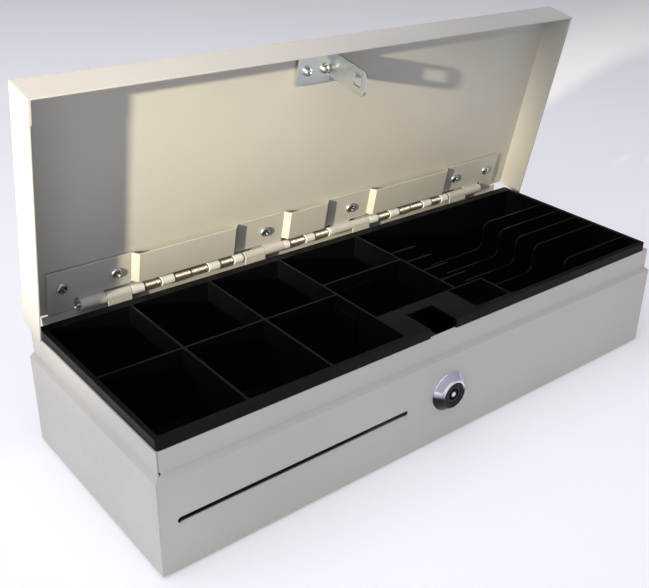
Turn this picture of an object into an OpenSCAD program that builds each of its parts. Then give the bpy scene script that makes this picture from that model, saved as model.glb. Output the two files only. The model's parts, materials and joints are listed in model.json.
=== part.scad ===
// Flip-top cash drawer with a sprung hinge, a coin and note insert, a cam lock and a solenoid latch.
// Millimetres, +Z up, front of the drawer towards -Y.
// The origin is on the base's underside, in the middle of the four fixing holes.
// The lid is drawn closed by its modules, and open_lid() turns it about the hinge pin.

/* [Body] */
// Width of the drawer, side to side
body_w = 460; // [456:1:470]
// Depth of the drawer, front to back
body_d = 170; // [169:1:174]
// Height of the wide lower body above its underside
lower_h = 66.4; // [65:0.2:68]
// Height of the rim above the underside
rim_h = 85.2; // [84.6:0.1:85.8]
// How far the rim steps in from the lower body
rim_inset = 3; // [2.8:0.1:3.2]
// Thickness of the sheet steel
sheet = 1; // [0.9:0.05:1.1]
// Height of the rubber feet under the body
foot_h = 2; // [1.5:0.5:4]

/* [Lid] */
// Height of the closed lid's top above the body's underside
lid_h = 100.5; // [100:0.1:101]
// Depth of the lid's folded skirt
skirt_h = 25.4; // [22:0.1:26]
// Angle of the lid in the drawn pose, from closed
lid_angle = 78.5; // [0:0.5:80]

/* [Hinge] */
// Outer radius of the rolled hinge knuckles
knuckle_r = 3.7; // [3.5:0.1:3.8]
// Radius of the hinge pin
pin_r = 1.8; // [1.6:0.1:1.9]
// How far the pressed bridges stand off the hinge leaf
bridge_h = 4; // [3:0.5:4.5]

/* [Insert] */
// Height of the insert's top above the body's underside
tray_h = 92.25; // [92:0.05:92.5]
// Depth of the coin cups
cup_depth = 50; // [44:1:50]
// Thickness of the insert's dividers
divider = 1.8; // [1.6:0.1:2]

/* [Lock] */
// Height of the lock above the body's underside
lock_h = 38.3; // [38.2:0.1:38.4]
// Radius of the lock's bezel where it meets the front panel
bezel_r = 15; // [13:0.5:16]
// How far the bezel stands out of the front panel
bezel_len = 6.4; // [5:0.2:8]
// Travel of the latch tongue
latch_travel = 6; // [5.8:0.1:6]

/* [Hidden] */

$fn = 48;
eps = 0.01;
big = 600;

// Colours of the finishes
ivory = "#e6e0cc";
black_plastic = "#1c1c1e";
rubber = "#2a2a2a";
zinc = "#b9bec4";
chrome = "#d8dde2";
steel = "#a3a6aa";
nylon = "#eeeeea";
copper = "#a65a2a";

// Main heights, above the underside
step_z = lower_h;
joggle_z = step_z + 2.6;
rim_z = rim_h;
back_z = 91.9;
lid_z = lid_h;
lid_in_z = lid_z - sheet;
skirt_z = lid_z - skirt_h;

// Main planes of the body
half_w = body_w / 2;
front_y = -body_d / 2;
back_y = body_d / 2;
rim_x = half_w - rim_inset;
rim_y = front_y + rim_inset;
hem_h = 8;
back_half_w = 219;

// Hinge line
hinge_y = back_y - 4;
hinge_z = lid_in_z - knuckle_r - 0.5;
running = 0.05;
bore_r = pin_r + running;
pin_half = 196;

// Knuckles along the hinge: from and to, left to right
lid_knuckles = [[-193.4, -175.2], [-44.8, -27.4], [21.6, 41.2], [174, 193.4]];
body_knuckles = [[-174.8, -156.8], [-63.2, -45.2], [41.6, 59.4], [153.4, 173.6]];

// Bushes (0) and torsion springs (1) on the pin: kind and length, left to right
side_stack = [[0, 10], [1, 13.4], [0, 10.4], [1, 14], [1, 14.2], [0, 9.7], [1, 12.3], [0, 8]];
middle_stack = [[0, 5.8], [1, 15.4], [0, 9], [1, 14.2], [0, 4]];
stacks = [[-156.6, side_stack], [-27.2, middle_stack], [59.6, side_stack]];
stack_gap = 0.15;
bush_r = 3.55;
spring_r = 3.1;
wire_r = 0.5;
coil_r = spring_r - wire_r;

// Lid leaf: a flat plate with pressed bridges over the springs
leaf_t = 1;
boss_h = 1.5;
leaf_top = lid_in_z - boss_h;
leaf_z = leaf_top - leaf_t;
leaf_x = [-215, 212];
leaf_front = 51;
leaf_back = 76;
leaf_end_back = 84.3;
bridge_back = 74.6;
bridges = [[-155, -69.5], [-27.6, 15.5], [58.2, 147]];
leaf_screw_x = [-205, -166.5, -44.5, 39, 158.5, 198];
leaf_screw_y = 64;

// Striker on the lid: base plate, arm and window
arm_x = -5;
arm_t = 1.5;
arm_y = [-76, -57.5];
arm_tip_z = 57;
window_y = [-72, -63];
window_z = [62, 70];
striker_x = -33;
striker_y = [-80, -53];
striker_screw_x = [-24.5, -9.4];
striker_screw_y = -63.6;
boss_r = 4.5;
boss_bore_r = 1.75;
shank_r = 1.6;

// Insert: outline, cells and levels
tray_z = tray_h;
tray_x = [-226, 222];
tray_y = [-81.5, 73.5];
wall_x = [-224.6, 220.4];
wall_y = [-79.6, 67.8];
wall_t = 2;
floor_z = tray_z - cup_depth;
floor_t = 2;
col_x = [-164, -102, -40.4, 35.8];
row_y = -4.4;
row4_y = 12.6;
block_back = -46.6;
pocket_x = [28, 61.6];
pocket_y = [-76.4, -48];
pocket_depth = 16;
notch_x = [-21.3, 3.3];
notch_back = -56.5;
ledge_z = 84;
low_z = 69.5;
bay_y = [24.4, 6, -12.4, -31.6, -62.8];
bay_stub_end = 62;
bay_rise_x = 141.4;
bay_bend_r = 6.5;

// Lock and latch
lock_x = -3.2;
lock_z = lock_h;
lock_barrel_r = 9;
lock_end = -70;
plug_r = 7;
tail_r = 2.2;
cam_pin_r = 1.2;
cam_pin_at = latch_travel / sqrt(2);
cam_y = [-69, -67.5];
latch_y = [-65, -63.5];
tongue_y = [-70, -65];
tongue_z = [63, 69];
tongue_x = arm_x + arm_t + 1;
leg_x = [6.8, 10.8];
plunger_z = 22.5;
plunger_y = -64.25;
plunger_r = 3;
shelf_z = [54.5, 56];
lug_a_x = [-1.2, 0.3];
lug_b_x = [-8.6, -7.1];
plate_y = [front_y + sheet, front_y + sheet + 1.5];
solenoid_shelf = 12;
coil_x = [14.6, 37.4];
frame_x = [13, 39];
frame_z = [13.5, 31.5];
switch_y = -73;

// Fixings in the base
fix_x = 190;
fix_y = 55;
foot_x = 205;
foot_y = 68;

// Media slot and cable jack
slot_x = [-218, -41];
slot_z = 35.3;
slot_r = 2.2;
jack_x = -150;
jack_z = 14;
jack_w = 12;
jack_h = 8;

// A box given by its two corners
module block(x, y, z) {
    translate([x[0], y[0], z[0]])
        cube([x[1] - x[0], y[1] - y[0], z[1] - z[0]]);
}

// A round bar along X, Y or Z
module bar_x(x, y, z, r) {
    translate([x[0], y, z])
        rotate([0, 90, 0])
            cylinder(r = r, h = x[1] - x[0]);
}

module bar_y(x, y, z, r) {
    translate([x, y[0], z])
        rotate([-90, 0, 0])
            cylinder(r = r, h = y[1] - y[0]);
}

module bar_z(x, y, z, r) {
    translate([x, y, z[0]])
        cylinder(r = r, h = z[1] - z[0]);
}

// A ring along X round the hinge line
module hinge_ring(x, r, bore) {
    difference() {
        bar_x(x, hinge_y, hinge_z, r);
        bar_x([x[0] - 1, x[1] + 1], hinge_y, hinge_z, bore);
    }
}

// A flat plate outline with round corners
module round_rect(x, y, r) {
    square_x = x[1] - x[0];
    square_y = y[1] - y[0];
    translate([x[0] + r, y[0]])
        square([square_x - 2 * r, square_y]);
    translate([x[0], y[0] + r])
        square([square_x, square_y - 2 * r]);
    for (cx = [x[0] + r, x[1] - r], cy = [y[0] + r, y[1] - r])
        translate([cx, cy])
            circle(r = r);
}

// Turns the closed lid's parts to the drawn angle
module open_lid() {
    translate([0, hinge_y, hinge_z])
        rotate([-lid_angle, 0, 0])
            translate([0, -hinge_y, -hinge_z])
                children();
}

// How far the sloped step drops when it is set in by t, so that the sheet keeps its thickness
function slope_drop(t) = 0.45 * t;

// Solid whose front is stepped in at the joggle, inset by t
module front_profile(t, low) {
    drop = slope_drop(t);
    rotate([90, 0, 90])
        translate([0, 0, -big / 2])
            linear_extrude(big)
                polygon([
                    [front_y + t, low], [back_y - t, low], [back_y - t, back_z + t], [rim_y + t, back_z + t],
                    [rim_y + t, joggle_z - drop], [front_y + t, step_z - drop]
                ]);
}

// Solid whose two sides are stepped in at the joggle, inset by t
module side_profile(t, low) {
    drop = slope_drop(t);
    rotate([90, 0, 0])
        translate([0, 0, -big / 2])
            linear_extrude(big)
                polygon([
                    [t - half_w, low], [half_w - t, low], [half_w - t, step_z - drop],
                    [rim_x - t, joggle_z - drop], [rim_x - t, back_z + t], [t - rim_x, back_z + t],
                    [t - rim_x, joggle_z - drop], [t - half_w, step_z - drop]
                ]);
}

// Front, base and back, folded from one sheet
module body_wrap() {
    color(ivory) {
        difference() {
            intersection() {
                front_profile(0, 0);
                side_profile(sheet, -1);
            }
            front_profile(sheet, sheet);
            block([-big / 2, big / 2], [-big / 2, back_y - sheet], [rim_z, big]);
            for (side = [-1, 1])
                translate([side * (back_half_w + 50), back_y, joggle_z + 50])
                    cube([100, 10, 100], center = true);
            media_slot_cut();
            slot_lip([front_y, lip_z[0]], [front_y + lip_depth, lip_z[1]], [front_y - 1, lip_z[1]]);
            bar_y(lock_x, [front_y - 1, front_y + sheet + 1], lock_z, lock_barrel_r + 0.2);
            for (side = [0, 1])
                mirror([side, 0, 0]) {
                    bar_y(rim_x - sheet, [rim_y - 2, rim_y + 2], joggle_z + 1.2, 1.4);
                    block([rim_x - sheet - 0.3, rim_x], [rim_y - 1, rim_y + 2 * sheet], [joggle_z + 1, rim_z + 1]);
                }
            block([jack_x - jack_w / 2 - 0.3, jack_x + jack_w / 2 + 0.3], [back_y - 2, back_y + 1],
                [jack_z - jack_h / 2 - 0.3, jack_z + jack_h / 2 + 0.3]);
            base_holes(fix_x, fix_y, 2.75);
            base_holes(foot_x, foot_y, 3);
        }
        block([-rim_x + 2 * sheet, rim_x - 2 * sheet], [rim_y + sheet, rim_y + 2 * sheet],
            [rim_z - hem_h, rim_z]);
        slot_lip([front_y + sheet - eps, lip_z[0]], [front_y + sheet - eps, lip_z[1]],
            [front_y + sheet + lip_depth, lip_z[1]]);
    }
}

// Pressed-in ramp under the media slot: a prism along the slot, given by three corners
lip_z = [slot_z - slot_r - 3.8, slot_z - slot_r];
lip_depth = 0.9;
module slot_lip(a, b, c) {
    rotate([90, 0, 90])
        translate([0, 0, slot_x[0] + slot_r])
            linear_extrude(slot_x[1] - slot_x[0] - 2 * slot_r)
                polygon([a, b, c]);
}

module media_slot_cut() {
    translate([0, front_y + sheet + 1, slot_z])
        rotate([90, 0, 0])
            linear_extrude(sheet + 2) {
                translate([slot_x[0] + slot_r, -slot_r])
                    square([slot_x[1] - slot_x[0] - 2 * slot_r, 2 * slot_r]);
                for (x = [slot_x[0] + slot_r, slot_x[1] - slot_r])
                    translate([x, 0])
                        circle(r = slot_r);
            }
}

module base_holes(x, y, r) {
    for (sx = [-x, x], sy = [-y, y])
        bar_z(sx, sy, [-1, sheet + 1], r);
}

// One end of the body: the wall, its hem and the flange welded to the base
module end_panel(side) {
    flange_w = 12;
    mirror([side > 0 ? 1 : 0, 0, 0]) {
        difference() {
            intersection() {
                front_profile(0, 0);
                side_profile(0, 0);
                block([-big / 2, 0], [-big / 2, big / 2], [-1, rim_z]);
            }
            side_profile(sheet, -1);
        }
        block([sheet - rim_x, 2 * sheet - rim_x], [rim_y + sheet, back_y - sheet], [rim_z - hem_h, rim_z]);
        block([sheet - half_w, flange_w - half_w], [front_y + 1.5, back_y - 1.5],
            [sheet, 2 * sheet]);
    }
}

module left_end_panel() {
    color(ivory)
        end_panel(-1);
}

// The right end also has a lip that fills the gap beside the insert
module right_end_panel() {
    color(ivory) {
        end_panel(1);
        block([tray_x[1] + 0.3, rim_x - 2 * sheet], [rim_y + 2 * sheet, 66], [rim_z - sheet, rim_z]);
    }
}

// Push-in feet: a pad, a neck and a bulb inside
module rubber_feet() {
    color(rubber)
        for (sx = [-foot_x, foot_x], sy = [-foot_y, foot_y]) {
            bar_z(sx, sy, [-foot_h, 0], 8);
            bar_z(sx, sy, [0, sheet], 2.9);
            bar_z(sx, sy, [sheet, sheet + 2], 4);
        }
}

// Floor-standing coin and note insert, moulded in one piece
module insert_tray() {
    color(black_plastic)
        difference() {
            union() {
                difference() {
                    union() {
                        translate([0, 0, rim_z])
                            linear_extrude(tray_z - rim_z)
                                round_rect(tray_x, tray_y, 2);
                        translate([0, 0, floor_z - floor_t])
                            linear_extrude(tray_z - floor_z + floor_t)
                                round_rect(wall_x, wall_y, 2);
                    }
                    coin_cups();
                    note_well();
                    block(pocket_x, pocket_y, [tray_z - pocket_depth, big]);
                    latch_space();
                }
                note_dividers();
                cup_ledges();
            }
            block(notch_x, [tray_y[0] - 1, notch_back], [floor_z - floor_t - 1, big]);
        }
}

// The inner limits of the cells
cell_x = [wall_x[0] + wall_t, wall_x[1] - wall_t];
cell_y = [wall_y[0] + wall_t, wall_y[1] - wall_t];
half_div = divider / 2;

module cell(x, y) {
    translate([0, 0, floor_z])
        linear_extrude(big)
            round_rect(x, y, 1.2);
}

module coin_cups() {
    left = [cell_x[0], col_x[0] + half_div, col_x[1] + half_div];
    right = [for (x = [col_x[0], col_x[1], col_x[2]]) x - half_div];
    for (i = [0:2]) {
        cell([left[i], right[i]], [cell_y[0], row_y - half_div]);
        cell([left[i], right[i]], [row_y + half_div, cell_y[1]]);
    }
    cell([col_x[2] + half_div, col_x[3] - half_div], [row4_y + half_div, cell_y[1]]);
    cell([col_x[2] + half_div, col_x[3] - half_div], [block_back, row4_y - half_div]);
}

// The open well that the note dividers stand in
module note_well() {
    well_x = [col_x[3] + half_div, cell_x[1]];
    cell(well_x, [block_back, cell_y[1]]);
    cell([pocket_x[1] + divider, cell_x[1]], cell_y);
}

// Space under the lock block for the latch
module latch_space() {
    block([col_x[2] + half_div, pocket_x[0] - divider], [-big / 2, block_back - divider], [0, rim_z - 1.5]);
    block([col_x[2] + half_div, pocket_x[0] - divider], [wall_y[0] + 1.6, block_back - divider],
        [0, tray_z - wall_t]);
    block([pocket_x[0] - divider - 1, pocket_x[1]], [-big / 2, block_back - divider],
        [0, tray_z - pocket_depth - floor_t]);
}

// A note divider: full height at both ends, low in the middle, with a soft rise
module note_dividers() {
    for (i = [0:4]) {
        start = i < 4 ? col_x[3] : pocket_x[1];
        translate([0, bay_y[i] + half_div, 0])
            rotate([90, 0, 0])
                linear_extrude(divider)
                    difference() {
                        translate([start, floor_z - 1])
                            square([cell_x[1] + 1 - start, tray_z - floor_z + 1]);
                        bay_dip(i < 4 ? bay_stub_end : -big);
                    }
    }
}

// The dip between the stub and the rise, with a round top and a round foot
module bay_dip(from) {
    dip = [bay_rise_x - from, tray_z - low_z];
    difference() {
        translate([from, low_z])
            square([dip[0] + bay_bend_r, dip[1] + 1]);
        translate([bay_rise_x, low_z - 1])
            square([bay_bend_r + 1, dip[1] + 1 - bay_bend_r]);
        translate([bay_rise_x + bay_bend_r, tray_z - bay_bend_r])
            circle(r = bay_bend_r);
        difference() {
            translate([bay_rise_x - bay_bend_r, low_z - 1])
                square([bay_bend_r + 1, bay_bend_r + 1]);
            translate([bay_rise_x - bay_bend_r, low_z + bay_bend_r])
                circle(r = bay_bend_r);
        }
    }
}

// Ledges for a loose cup divider, on the walls of two cups
module cup_ledges() {
    block([col_x[2] - half_div - 2, col_x[2] - half_div + eps], [-30, row_y - half_div], [floor_z - eps, ledge_z]);
    block([-24.5, 4.5], [row4_y - half_div - 2, row4_y - half_div + eps], [floor_z - eps, ledge_z]);
}

// Tabs on the hinge rail that carry the insert's back rail
module tray_rest_tabs() {
    color(ivory)
        for (x = [-180, 0, 180])
            block([x - 15, x + 15], [wall_y[1] + 0.3, rail_y[0]], [rim_z - sheet, rim_z]);
}

// Hinge rail: a Z section on the back panel with the fixed knuckles
rail_y = [77.5, 78.5];
rail_top = 88.6;
module hinge_rail() {
    rail_x = back_half_w - 1;
    web_z = 80;
    color(ivory)
        difference() {
            union() {
                block([-rail_x, rail_x], [back_y - 2 * sheet, back_y - sheet], [60, web_z + sheet]);
                block([-rail_x, rail_x], [rail_y[0], back_y - 2 * sheet], [web_z, web_z + sheet]);
                block([-rail_x, rail_x], rail_y, [web_z, rail_top]);
                for (k = body_knuckles) {
                    block(k, rail_y, [rail_top - 1, hinge_z]);
                    bar_x(k, hinge_y, hinge_z, knuckle_r);
                }
            }
            for (k = body_knuckles)
                bar_x([k[0] - 1, k[1] + 1], hinge_y, hinge_z, bore_r);
        }
}

module hinge_pin() {
    color(steel)
        bar_x([-pin_half, pin_half], hinge_y, hinge_z, pin_r);
}

// Length of the first n pieces of a stack
function stack_len(stack, n) = n == 0 ? 0 : stack[n - 1][1] + stack_len(stack, n - 1);

// From and to of the pieces of one kind, over all the stacks
function stack_spans(kind) = [
    for (s = stacks)
        for (i = [0:len(s[1]) - 1])
            if (s[1][i][0] == kind)
                [s[0] + stack_len(s[1], i) + stack_gap, s[0] + stack_len(s[1], i + 1) - stack_gap]
];

// Nylon bushes on the pin
module hinge_bushes() {
    color(nylon)
        for (span = stack_spans(0))
            hinge_ring(span, bush_r, bore_r);
}

// Where a spring's rail arm and lid arm stand: the lid arm must be under a bridge
function arm_ends(span) =
    let (a = span[0] + 2 * wire_r, b = span[1] - 2 * wire_r)
    a < bridges[1][1] && b > bridges[1][1] - bridge_h - 1 ? [b, a] : [a, b];

// Torsion springs: the coil as a sleeve, one arm behind the rail and one under a bridge
module torsion_springs() {
    arm_r = coil_r - 0.2;
    lid_arm = 15;
    color(steel)
        for (span = stack_spans(1)) {
            hinge_ring(span, spring_r, spring_r - 2 * wire_r);
            bar_z(arm_ends(span)[0], hinge_y + arm_r, [89, hinge_z - 1.6], wire_r);
            open_lid()
                bar_y(arm_ends(span)[1], [hinge_y - lid_arm, hinge_y - 1.6], hinge_z + arm_r, wire_r);
        }
}

// The lock's body, bezel first, turned about its axis
module lock_turn() {
    translate([lock_x, front_y, lock_z])
        rotate([-90, 0, 0])
            rotate_extrude()
                children();
}

module lock_housing() {
    lip_r = 10.9;
    shroud_r = 9.3;
    color(chrome)
        lock_turn()
            polygon([
                [plug_r + running, lock_end - front_y], [lock_barrel_r, lock_end - front_y],
                [lock_barrel_r, 0], [bezel_r, 0], [bezel_r, -0.8], [lip_r + 0.5, 1.4 - bezel_len],
                [lip_r, 1.2 - bezel_len], [lip_r, 0.3 - bezel_len], [lip_r - 0.4, -bezel_len],
                [shroud_r, -bezel_len], [shroud_r, 2 - bezel_len], [plug_r + running, 2 - bezel_len]
            ]);
}

// Black ring pressed into the bezel's mouth
module lock_shroud() {
    color(black_plastic)
        lock_turn()
            translate([plug_r + 0.15, 0.35 - bezel_len])
                square([2, 1.6]);
}

module lock_nut() {
    color(zinc)
        difference() {
            translate([lock_x, plate_y[1], lock_z])
                rotate([-90, 0, 0])
                    cylinder(r = 13.5, h = 3.5, $fn = 6);
            bar_y(lock_x, [plate_y[1] - 1, plate_y[1] + 5], lock_z, lock_barrel_r + 0.1);
        }
}

// Latch bracket: plate behind the front panel, solenoid shelf, and two lugs that guide the tongue
module latch_bracket() {
    lug_y = [-78, -58];
    lug_top = 74;
    solenoid_shelf_z = [solenoid_shelf, frame_z[0]];
    color(zinc)
        difference() {
            union() {
                block([-22, 40], plate_y, [solenoid_shelf_z[0], shelf_z[1]]);
                block([lug_b_x[0], lug_a_x[1]], [plate_y[1], lug_y[1]], shelf_z);
                block(lug_a_x, lug_y, [shelf_z[1], lug_top]);
                block(lug_b_x, lug_y, [shelf_z[1], lug_top]);
                block([12, 40], [plate_y[1], -52], solenoid_shelf_z);
            }
            block([lug_b_x[0] - 1, lug_a_x[1] + 1], [tongue_y[0] - 0.5, tongue_y[1] + 0.5],
                [tongue_z[0] - 0.5, tongue_z[1] + 0.5]);
            bar_y(lock_x, [plate_y[0] - 1, plate_y[1] + 1], lock_z, lock_barrel_r + 0.1);
            bar_z(arm_x + arm_t / 2, switch_y, [shelf_z[0] - 1, shelf_z[1] + 1], 1.4);
            for (x = bracket_screw_x)
                bar_y(x, [plate_y[0] - 1, plate_y[1] + 1], bracket_screw_z, 1.7);
            for (x = solenoid_screw_x)
                bar_z(x, plunger_y, [solenoid_shelf_z[0] - 1, solenoid_shelf_z[1] + 1], 1.3);
        }
}

// Nuts that hold the bracket, on studs welded to the front panel
bracket_screw_x = [-18, 34];
bracket_screw_z = 48;
module bracket_screws() {
    color(zinc)
        for (x = bracket_screw_x) {
            bar_y(x, [front_y + sheet, plate_y[1] + 4], bracket_screw_z, 1.6);
            difference() {
                translate([x, plate_y[1], bracket_screw_z])
                    rotate([-90, 0, 0])
                        cylinder(r = 3.4, h = 2.4, $fn = 6);
                bar_y(x, [plate_y[1] - 1, plate_y[1] + 4], bracket_screw_z, 1.65);
            }
        }
}

// Open frame of the solenoid: base and two end plates
solenoid_screw_x = [16.8, 35.2];
module solenoid_frame() {
    frame_y = [plunger_y - 9, plunger_y + 9];
    plate_t = 1.5;
    color(zinc)
        difference() {
            union() {
                block(frame_x, frame_y, [frame_z[0], frame_z[0] + 1]);
                block([frame_x[0], frame_x[0] + plate_t], frame_y, frame_z);
                block([frame_x[1] - plate_t, frame_x[1]], frame_y, frame_z);
            }
            bar_x([frame_x[0] - 1, frame_x[0] + 3], plunger_y, plunger_z, plunger_r + 0.3);
            for (x = solenoid_screw_x)
                bar_z(x, plunger_y, [frame_z[0] - 1, frame_z[0] + 2], 1.3);
        }
}

// Wound coil on its bobbin
module solenoid_coil() {
    flange_t = 1.2;
    color(copper)
        difference() {
            union() {
                bar_x(coil_x, plunger_y, plunger_z, 6.4);
                for (x = [coil_x[0], coil_x[1] - flange_t])
                    bar_x([x, x + flange_t], plunger_y, plunger_z, 7.4);
            }
            bar_x([coil_x[0] - 1, coil_x[1] + 1], plunger_y, plunger_z, plunger_r + 0.2);
        }
}

module solenoid_screws() {
    color(zinc)
        for (x = solenoid_screw_x) {
            bar_z(x, plunger_y, [solenoid_shelf - 1.4, solenoid_shelf], 2.4);
            bar_z(x, plunger_y, [solenoid_shelf, frame_z[0] + 1], 1.2);
        }
}

// Spring that pushes the plunger out, inside the coil
module return_spring() {
    color(steel)
        difference() {
            bar_x([plunger_x[1] + 0.1, frame_x[1] - 1.6], plunger_y, plunger_z, 2.6);
            bar_x([plunger_x[1] - 1, frame_x[1]], plunger_y, plunger_z, 1.9);
        }
}

// Switch that feels the striker's tip
switch_x = [arm_x - 6, arm_x + 7];
module microswitch() {
    color(black_plastic)
        difference() {
            block(switch_x, [switch_y - 2.9, switch_y + 2.9], [shelf_z[0] - 6.3, shelf_z[0]]);
            bar_z(arm_x + arm_t / 2, switch_y, [shelf_z[0] - 2.5, shelf_z[0] + 1], 1.15);
        }
}

module microswitch_terminals() {
    color(zinc)
        for (x = [switch_x[0] - 3, switch_x[1]])
            block([x, x + 3], [switch_y - 1, switch_y + 1], [50, 50.6]);
}

// Socket for the till's lead, behind the back panel
module cable_jack() {
    wall = 2;
    back = back_y - sheet;
    color(black_plastic)
        difference() {
            block([jack_x - jack_w / 2 - wall, jack_x + jack_w / 2 + wall], [back - 15, back],
                [jack_z - jack_h / 2 - wall, jack_z + jack_h / 2 + wall]);
            block([jack_x - jack_w / 2, jack_x + jack_w / 2], [back - 12, back + 1],
                [jack_z - jack_h / 2, jack_z + jack_h / 2]);
        }
}

module jack_contacts() {
    color("#c9a227")
        for (i = [-2.5:1:2.5])
            block([jack_x + i * 1.4 - 0.25, jack_x + i * 1.4 + 0.25], [back_y - sheet - 12, back_y - sheet - 4],
                [jack_z + jack_h / 2 - 0.6, jack_z + jack_h / 2]);
}

// Wires from the jack to the solenoid, lying on the base
loom_r = 1.5;
loom_route = [
    [-150, 68.8, 14], [-150, 64, 13.8], [-150, 59, 10.5], [-148, 55, 5.5], [-146, 50, 3], [-140, 44, 2.6],
    [-128, 34, 2.6], [-110, 20, 2.6], [-88, 4, 2.6], [-64, -12, 2.6], [-40, -24, 2.6], [-14, -32, 2.6],
    [14, -38, 2.6], [36, -46, 2.6], [47, -54, 3.4], [51, -60, 6.5], [51, -63.5, 11], [49, -64.25, 15.6],
    [45, -64.25, 18], [39.3, -64.25, 18.4]
];
function unit(v) = v / norm(v);
function loom_dir(i) = unit(loom_route[min(i + 1, len(loom_route) - 1)] - loom_route[max(i - 1, 0)]);
function loom_side(d) = unit(cross(d, abs(d[2]) > 0.9 ? [1, 0, 0] : [0, 0, 1]));
function loom_ring(i, n) =
    let (d = loom_dir(i), a = loom_side(d), b = cross(d, a))
    [for (k = [0:n - 1]) loom_route[i] + loom_r * (cos(360 * k / n) * a + sin(360 * k / n) * b)];

module wire_loom() {
    n = 8;
    rings = len(loom_route);
    points = [for (i = [0:rings - 1]) each loom_ring(i, n)];
    sides = [
        for (i = [0:rings - 2])
            for (k = [0:n - 1])
                [i * n + k, (i + 1) * n + k, (i + 1) * n + (k + 1) % n, i * n + (k + 1) % n]
    ];
    first = [for (k = [0:n - 1]) k];
    last = [for (k = [n - 1:-1:0]) (rings - 1) * n + k];
    color("#222226")
        polyhedron(points, concat([first], [last], sides));
}

// Lid: top and three folded skirts, with welded corner tabs
module lid_shell() {
    tab_len = 16;
    corner_r = 1.5;
    color(ivory)
        open_lid()
            difference() {
                union() {
                    block([-half_w, half_w], [front_y, back_y], [lid_in_z, lid_z]);
                    block([-half_w, half_w], [front_y, front_y + sheet], [skirt_z, lid_in_z]);
                    for (side = [0, 1])
                        mirror([side, 0, 0]) {
                            block([-half_w, sheet - half_w], [front_y, back_y], [skirt_z, lid_in_z]);
                            block([sheet - half_w, 1.8 - half_w], [front_y + sheet, front_y + tab_len],
                                [skirt_z, lid_in_z - 2]);
                        }
                }
                difference() {
                    block([-big / 2, big / 2], [back_y - corner_r, back_y + 1], [skirt_z - 1, skirt_z + corner_r]);
                    bar_x([-big, big], back_y - corner_r, skirt_z + corner_r, corner_r);
                }
            }
}

// Threaded bosses welded inside the lid
module lid_bosses() {
    color(zinc)
        open_lid()
            for (p = concat(leaf_screw_places(), striker_screw_places()))
                difference() {
                    bar_z(p[0], p[1], [leaf_top, lid_in_z], p[1] > 0 ? boss_r : boss_r - 1);
                    bar_z(p[0], p[1], [leaf_top - 1, lid_in_z + eps], boss_bore_r);
                }
}

function leaf_screw_places() = [for (x = leaf_screw_x) [x, leaf_screw_y]];
function striker_screw_places() = [for (x = striker_screw_x) [x, striker_screw_y]];

// Pressed bridge: the leaf lifted over the springs, open at both edges
module bridge(from, to) {
    h = bridge_h;
    in = 0.42 * leaf_t;
    translate([0, bridge_back, 0])
        rotate([90, 0, 0])
            linear_extrude(bridge_back - leaf_front)
                polygon([
                    [from, leaf_z], [from + h, leaf_z - h], [to - h, leaf_z - h], [to, leaf_z],
                    [to, leaf_top], [to - in, leaf_top], [to - h - in, leaf_top - h],
                    [from + h + in, leaf_top - h], [from + in, leaf_top], [from, leaf_top]
                ]);
}

// The flat stretches of the leaf between the bridges
function flat_from(i) = i == 0 ? leaf_x[0] : bridges[i - 1][1];
function flat_to(i) = i == len(bridges) ? leaf_x[1] : bridges[i][0];

module lid_leaf() {
    end_x = pin_half + 0.6;
    color(ivory)
        open_lid()
            difference() {
                union() {
                    for (i = [0:len(bridges)])
                        block([flat_from(i), flat_to(i)], [leaf_front, leaf_back], [leaf_z, leaf_top]);
                    for (b = bridges)
                        bridge(b[0], b[1]);
                    block([leaf_x[0], -end_x], [leaf_back - eps, leaf_end_back], [leaf_z, leaf_top]);
                    block([end_x, leaf_x[1]], [leaf_back - eps, leaf_end_back], [leaf_z, leaf_top]);
                    for (k = lid_knuckles) {
                        block(k, [leaf_back - eps, hinge_y], [leaf_z, leaf_top]);
                        bar_x(k, hinge_y, hinge_z, knuckle_r);
                    }
                }
                for (k = lid_knuckles)
                    bar_x([k[0] - 1, k[1] + 1], hinge_y, hinge_z, bore_r);
                for (p = leaf_screw_places())
                    bar_z(p[0], p[1], [leaf_z - 1, leaf_top + 1], 2);
            }
}

// A pan head screw, head at z and shank upwards
module pan_screw(x, y, z, head_r, head_h, length) {
    cross_w = 0.8;
    cross_l = 2.6;
    difference() {
        union() {
            bar_z(x, y, [z - head_h, z], head_r);
            bar_z(x, y, [z - eps, z + length], shank_r);
        }
        block([x - cross_l / 2, x + cross_l / 2], [y - cross_w / 2, y + cross_w / 2], [z - head_h - 1, z - 0.9]);
        block([x - cross_w / 2, x + cross_w / 2], [y - cross_l / 2, y + cross_l / 2], [z - head_h - 1, z - 0.9]);
    }
}

module leaf_screws() {
    color(zinc)
        open_lid()
            for (p = leaf_screw_places())
                pan_screw(p[0], p[1], leaf_z, 4, 2.4, leaf_t + boss_h - 0.1);
}

// Striker: a base plate screwed to the lid and an arm with a window for the tongue
striker_t = 1.5;
washer_t = 0.8;
module striker() {
    tip_r = 5;
    color(zinc)
        open_lid()
            difference() {
                union() {
                    block([striker_x, arm_x + arm_t], striker_y, [leaf_top - striker_t, leaf_top]);
                    translate([arm_x, 0, 0])
                        rotate([90, 0, 90])
                            linear_extrude(arm_t)
                                difference() {
                                    union() {
                                        translate([arm_y[0], arm_tip_z + tip_r])
                                            square([arm_y[1] - arm_y[0], leaf_top - arm_tip_z - tip_r]);
                                        round_rect(arm_y, [arm_tip_z, arm_tip_z + 3 * tip_r], tip_r);
                                    }
                                    round_rect(window_y, window_z, 1);
                                }
                }
                for (p = striker_screw_places())
                    bar_z(p[0], p[1], [leaf_top - striker_t - 1, leaf_top + 1], 2);
                block([arm_x - 0.4, arm_x + arm_t + 1], [-66, -59], [leaf_top - striker_t - 1.2, leaf_top + 1]);
            }
}

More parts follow.
